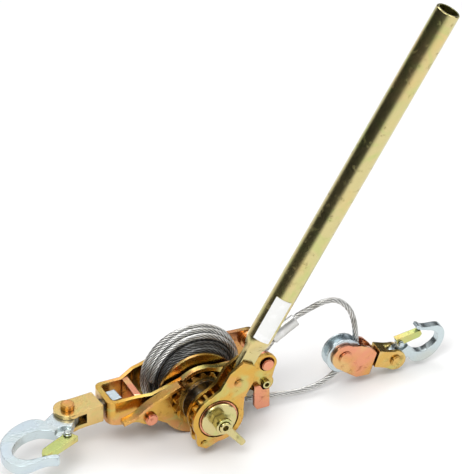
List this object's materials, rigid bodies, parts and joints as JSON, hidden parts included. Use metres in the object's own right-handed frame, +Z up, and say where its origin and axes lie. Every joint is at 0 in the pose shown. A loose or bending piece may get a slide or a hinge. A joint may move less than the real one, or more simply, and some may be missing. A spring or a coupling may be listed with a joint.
{
  "type": "wire rope puller",
  "caption": "Hand lever hoist that pulls wire rope: ratchet drum in a strap frame, long tube handle, returning rope with a pulley block, and a latched swivel hook at each end.",
  "frame": {"origin": "centre of the bounding box's bottom face, on the surface that the drum's side plates and the hooks lie on", "axes": "+X from the swivel hook at the frame's closed end towards the pulley block, -Y towards the handle side of the drum's shaft, +Z up"},
  "size_m": [0.4966, 0.1264, 0.4692],
  "materials": {
    "zinc_gold": "yellow zinc chromate plating over steel, iridescent",
    "zinc_rose": "yellow zinc chromate plating with a pink cast",
    "zinc_olive": "olive-gold zinc chromate plating on the lever tube",
    "zinc_silver": "blue-white zinc plating",
    "wire_rope": "galvanised stranded wire rope",
    "black_steel": "dark oiled friction lining and hub",
    "aluminium": "pressed aluminium ferrule",
    "label": "blank pale label film"
  },
  "bodies": {
    "frame": {"frame_strap": "zinc_gold", "cross_web": "zinc_rose", "tie_bar": "zinc_rose", "rope_guide_near": "zinc_rose", "rope_guide_far": "zinc_rose", "rope_guide_roller": "zinc_silver", "guide_bolt": "black_steel", "spring_pin": "zinc_olive", "shaft_bush_near": "zinc_gold", "shaft_bush_far": "zinc_gold", "ratchet_guard": "zinc_gold", "pawl_bolt": "zinc_rose", "pawl_spring": "zinc_silver", "thrust_washer": "zinc_silver", "rope_ferrule": "aluminium", "rope_eye": "wire_rope", "wire_rope": "wire_rope"},
    "drum": {"drum_shaft": "zinc_silver", "drum_core": "zinc_gold", "drum_flange_near": "zinc_gold", "drum_flange_far": "zinc_gold", "rope_winding": "wire_rope", "holding_ratchet": "zinc_gold", "friction_disc": "black_steel", "drive_hub": "black_steel", "drive_ratchet": "zinc_gold", "retaining_ring": "zinc_rose", "cap_disc": "zinc_olive", "shaft_nut": "zinc_olive", "far_washer": "zinc_silver", "far_nut": "zinc_gold"},
    "feed_lever": {"feed_lever": "zinc_olive"},
    "handle": {"handle_tube": "zinc_olive", "yoke_cheek_near": "zinc_gold", "yoke_cheek_far": "zinc_gold", "cheek_rivet": "zinc_silver", "drive_pawl_rivet": "zinc_silver", "handle_label": "label"},
    "drive_pawl": {"drive_pawl": "zinc_gold"},
    "holding_pawl": {"holding_pawl": "zinc_gold"},
    "clevis_fixed": {"clevis_fixed": "zinc_gold", "clevis_pin_fixed": "zinc_gold", "swivel_stud_fixed": "zinc_silver", "swivel_nut_fixed": "zinc_silver"},
    "hook_fixed": {"hook_fixed": "zinc_silver", "latch_pin_fixed": "zinc_silver", "latch_spring_fixed": "zinc_silver"},
    "latch_fixed": {"latch_fixed": "zinc_gold"},
    "block": {"block_strap": "zinc_rose", "sheave_pin": "zinc_rose"},
    "sheave": {"sheave": "zinc_silver"},
    "clevis_moving": {"clevis_moving": "zinc_gold", "clevis_pin_moving": "zinc_gold", "swivel_stud_moving": "zinc_silver"},
    "hook_moving": {"hook_moving": "zinc_silver", "latch_pin_moving": "zinc_silver", "latch_spring_moving": "zinc_silver"},
    "latch_moving": {"latch_moving": "zinc_gold"}
  },
  "joints": [
    {"name": "drum_turn", "type": "hinge", "parent": "frame", "child": "drum", "pos_m": [-0.0244, 0.02625, 0.04337], "axis": [0, 1, 0], "continuous": true},
    {"name": "feed_lever_turn", "type": "hinge", "parent": "drum", "child": "feed_lever", "pos_m": [-0.0244, 0.02625, 0.04337], "axis": [0, 1, 0], "range_deg": [-30, 30]},
    {"name": "handle_swing", "type": "hinge", "parent": "frame", "child": "handle", "pos_m": [-0.0244, 0.02625, 0.04337], "axis": [0, 1, 0], "range_deg": [-110, 55]},
    {"name": "drive_pawl_turn", "type": "hinge", "parent": "handle", "child": "drive_pawl", "pos_m": [-0.00219, 0.02625, 0.08019], "axis": [0, 1, 0], "range_deg": [0, 20]},
    {"name": "holding_pawl_lift", "type": "hinge", "parent": "frame", "child": "holding_pawl", "pos_m": [-0.0814, -0.0046, 0.03537], "axis": [0, 1, 0], "range_deg": [-18, 0], "stiffness_Nm_per_rad": 0.05, "springref_deg": 17.19},
    {"name": "swivel_fixed", "type": "hinge", "parent": "frame", "child": "clevis_fixed", "pos_m": [-0.1184, 0.02625, 0.04137], "axis": [0.9962, 0.0872, 0], "continuous": true},
    {"name": "hook_swing_fixed", "type": "hinge", "parent": "clevis_fixed", "child": "hook_fixed", "pos_m": [-0.15924, 0.02268, 0.04137], "axis": [0, 0, 1], "range_deg": [-100, 40]},
    {"name": "latch_open_fixed", "type": "hinge", "parent": "hook_fixed", "child": "latch_fixed", "pos_m": [-0.17385, -0.01081, 0.04137], "axis": [0, 0, 1], "range_deg": [-35, 0], "stiffness_Nm_per_rad": 0.05, "springref_deg": 28.65},
    {"name": "block_swing", "type": "hinge", "parent": "frame", "child": "block", "pos_m": [0.1368, 0.01425, 0.03837], "axis": [0, 1, 0], "range_deg": [-45, 25]},
    {"name": "sheave_turn", "type": "hinge", "parent": "block", "child": "sheave", "pos_m": [0.1368, 0.01425, 0.03837], "axis": [0, 1, 0], "continuous": true},
    {"name": "swivel_moving", "type": "hinge", "parent": "block", "child": "clevis_moving", "pos_m": [0.1368, 0.01425, 0.03837], "axis": [0.9397, 0, -0.342], "continuous": true},
    {"name": "hook_swing_moving", "type": "hinge", "parent": "clevis_moving", "child": "hook_moving", "pos_m": [0.19262, 0.01425, 0.01806], "axis": [0, -1, 0], "range_deg": [-45, 45]},
    {"name": "latch_open_moving", "type": "hinge", "parent": "hook_moving", "child": "latch_moving", "pos_m": [0.20033, 0.01425, 0.03342], "axis": [0, -1, 0], "range_deg": [-22, 0], "stiffness_Nm_per_rad": 0.02, "springref_deg": 28.65}
  ]
}
